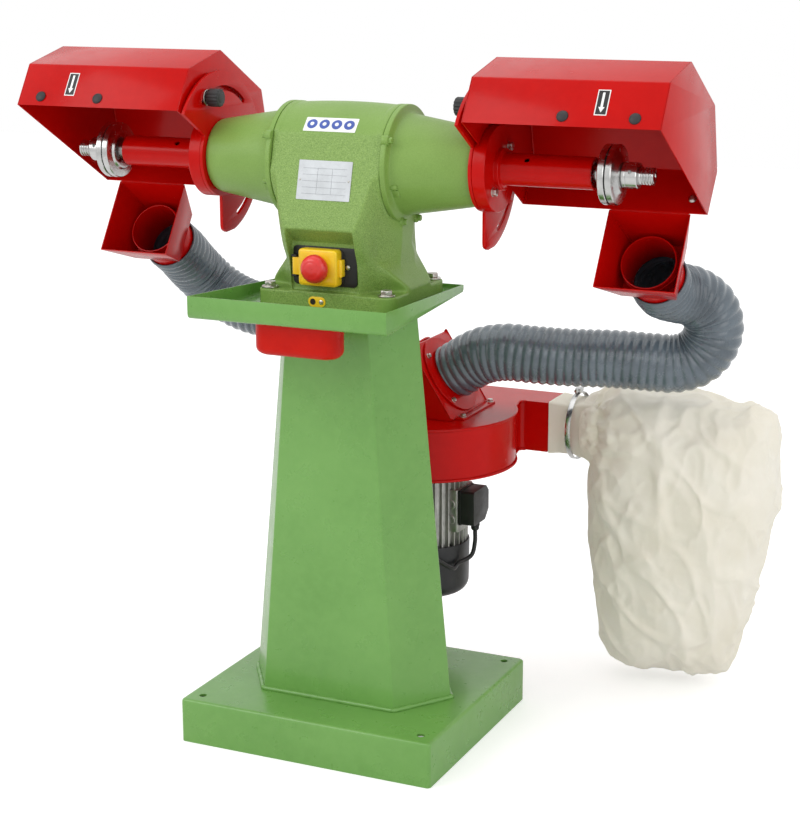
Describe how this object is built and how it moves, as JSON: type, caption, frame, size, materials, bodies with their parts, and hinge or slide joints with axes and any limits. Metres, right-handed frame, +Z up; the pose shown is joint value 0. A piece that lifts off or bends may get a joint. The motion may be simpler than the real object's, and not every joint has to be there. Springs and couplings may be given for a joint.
{
  "type": "double-ended pedestal polishing machine",
  "caption": "Double-ended polishing lathe on a tapered pedestal, with tilting hoods, hose-fed extraction fan, dust bag, water pot, tray and hinged switch flap.",
  "frame": {"origin": "on the floor, under the middle of the machine without its hoses and cable", "axes": "+X along the spindle to the side of the dust bag, +Y from the operator to the fan, +Z up"},
  "size_m": [1.289, 0.8312, 1.241],
  "materials": {
    "sheet_green": "satin-gloss green powder coat on folded sheet",
    "casting_green": "hammered green paint on cast iron",
    "red": "gloss red paint",
    "steel": "turned or zinc-plated steel",
    "cast_iron": "bare laminations and windings",
    "aluminium": "cast aluminium, grey-beige",
    "black_plastic": "matt black moulding",
    "yellow_plastic": "satin yellow moulding",
    "red_plastic": "gloss red moulding",
    "green_plastic": "gloss green moulding",
    "hose_pvc": "grey ribbed PVC",
    "cotton": "off-white filter cotton"
  },
  "bodies": {
    "frame": {"pedestal_base": "sheet_green", "column": "sheet_green", "column_top_plate": "sheet_green", "tray": "sheet_green", "motor_housing": "casting_green", "foot_bolt_front_left": "steel", "foot_bolt_front_right": "steel", "foot_bolt_back_left": "steel", "foot_bolt_back_right": "steel", "stator_core": "cast_iron", "left_end_bell": "casting_green", "right_end_bell": "casting_green", "left_inner_bearing": "steel", "right_inner_bearing": "steel", "left_outer_bearing": "steel", "right_outer_bearing": "steel", "left_adjuster_plate": "red", "right_adjuster_plate": "red", "left_spindle_tube": "red", "right_spindle_tube": "red", "switch_plate": "black_plastic", "switch_frame": "black_plastic", "fan_scroll": "red", "fan_inlet_box": "red", "left_inlet_collar": "red", "right_inlet_collar": "red", "fan_motor_frame": "aluminium", "fan_motor_stator": "cast_iron", "fan_motor_cowl": "black_plastic", "terminal_box_lid": "black_plastic", "cable_gland": "black_plastic", "column_cable_grommet": "black_plastic", "motor_cable": "black_plastic", "fan_bracket": "sheet_green", "dust_bag": "cotton", "bag_clamp": "steel", "left_hose": "hose_pvc", "right_hose": "hose_pvc"},
    "spindle": {"spindle_shaft": "steel", "rotor_core": "cast_iron", "left_inner_wheel_flange": "steel", "right_inner_wheel_flange": "steel", "left_outer_wheel_flange": "steel", "right_outer_wheel_flange": "steel", "left_spindle_nut": "steel", "right_spindle_nut": "steel"},
    "left_hood": {"left_hood": "red", "left_chute": "red"},
    "right_hood": {"right_hood": "red", "right_chute": "red"},
    "left_knob": {"left_clamp_knob": "black_plastic"},
    "right_knob": {"right_clamp_knob": "black_plastic"},
    "water_pot": {"water_pot": "red"},
    "switch_flap": {"switch_flap": "yellow_plastic"},
    "mushroom": {"stop_mushroom": "red_plastic"},
    "stop_plunger": {"stop_plunger": "red_plastic"},
    "start_button": {"start_button": "green_plastic"},
    "fan_rotor": {"fan_motor_shaft": "steel", "impeller": "aluminium", "cooling_fan": "black_plastic"}
  },
  "joints": [
    {"name": "spindle_spin", "type": "hinge", "parent": "frame", "child": "spindle", "pos_m": [-0.0385, -0.1641, 1.0554], "axis": [1, 0, 0], "continuous": true},
    {"name": "left_hood_tilt", "type": "hinge", "parent": "frame", "child": "left_hood", "pos_m": [-0.4725, -0.1641, 1.0554], "axis": [-1, 0, 0], "range_deg": [-4.5, 61], "deforming": ["left_hose"]},
    {"name": "left_knob_turn", "type": "hinge", "parent": "left_hood", "child": "left_knob", "pos_m": [-0.2785, -0.21798, 1.16206], "axis": [1, 0, 0], "range_deg": [0, 360]},
    {"name": "right_hood_tilt", "type": "hinge", "parent": "frame", "child": "right_hood", "pos_m": [0.3955, -0.1641, 1.0554], "axis": [-1, 0, 0], "range_deg": [-4.5, 61], "deforming": ["right_hose"]},
    {"name": "right_knob_turn", "type": "hinge", "parent": "right_hood", "child": "right_knob", "pos_m": [0.2015, -0.21798, 1.16206], "axis": [-1, 0, 0], "range_deg": [0, 360]},
    {"name": "pot_lift", "type": "slide", "parent": "frame", "child": "water_pot", "axis": [0, 0, 1], "range_m": [0, 0.035]},
    {"name": "flap_open", "type": "hinge", "parent": "frame", "child": "switch_flap", "pos_m": [-0.0915, -0.2744, 0.884], "axis": [0, 0, -1], "range_deg": [0, 80]},
    {"name": "mushroom_push", "type": "slide", "parent": "switch_flap", "child": "mushroom", "axis": [0, 1, 0], "range_m": [0, 0.004], "stiffness_N_per_m": 800},
    {"name": "stop_push", "type": "slide", "parent": "frame", "child": "stop_plunger", "axis": [0, 1, 0], "range_m": [0, 0.004], "stiffness_N_per_m": 500},
    {"name": "start_push", "type": "slide", "parent": "frame", "child": "start_button", "axis": [0, 1, 0], "range_m": [0, 0.003], "stiffness_N_per_m": 500},
    {"name": "fan_spin", "type": "hinge", "parent": "frame", "child": "fan_rotor", "pos_m": [-0.0145, 0.1204, 0.4], "axis": [0, 0, 1], "continuous": true}
  ],
  "couplings": [
    {"joint": "stop_push", "follows": "mushroom_push", "ratio": 1}
  ]
}
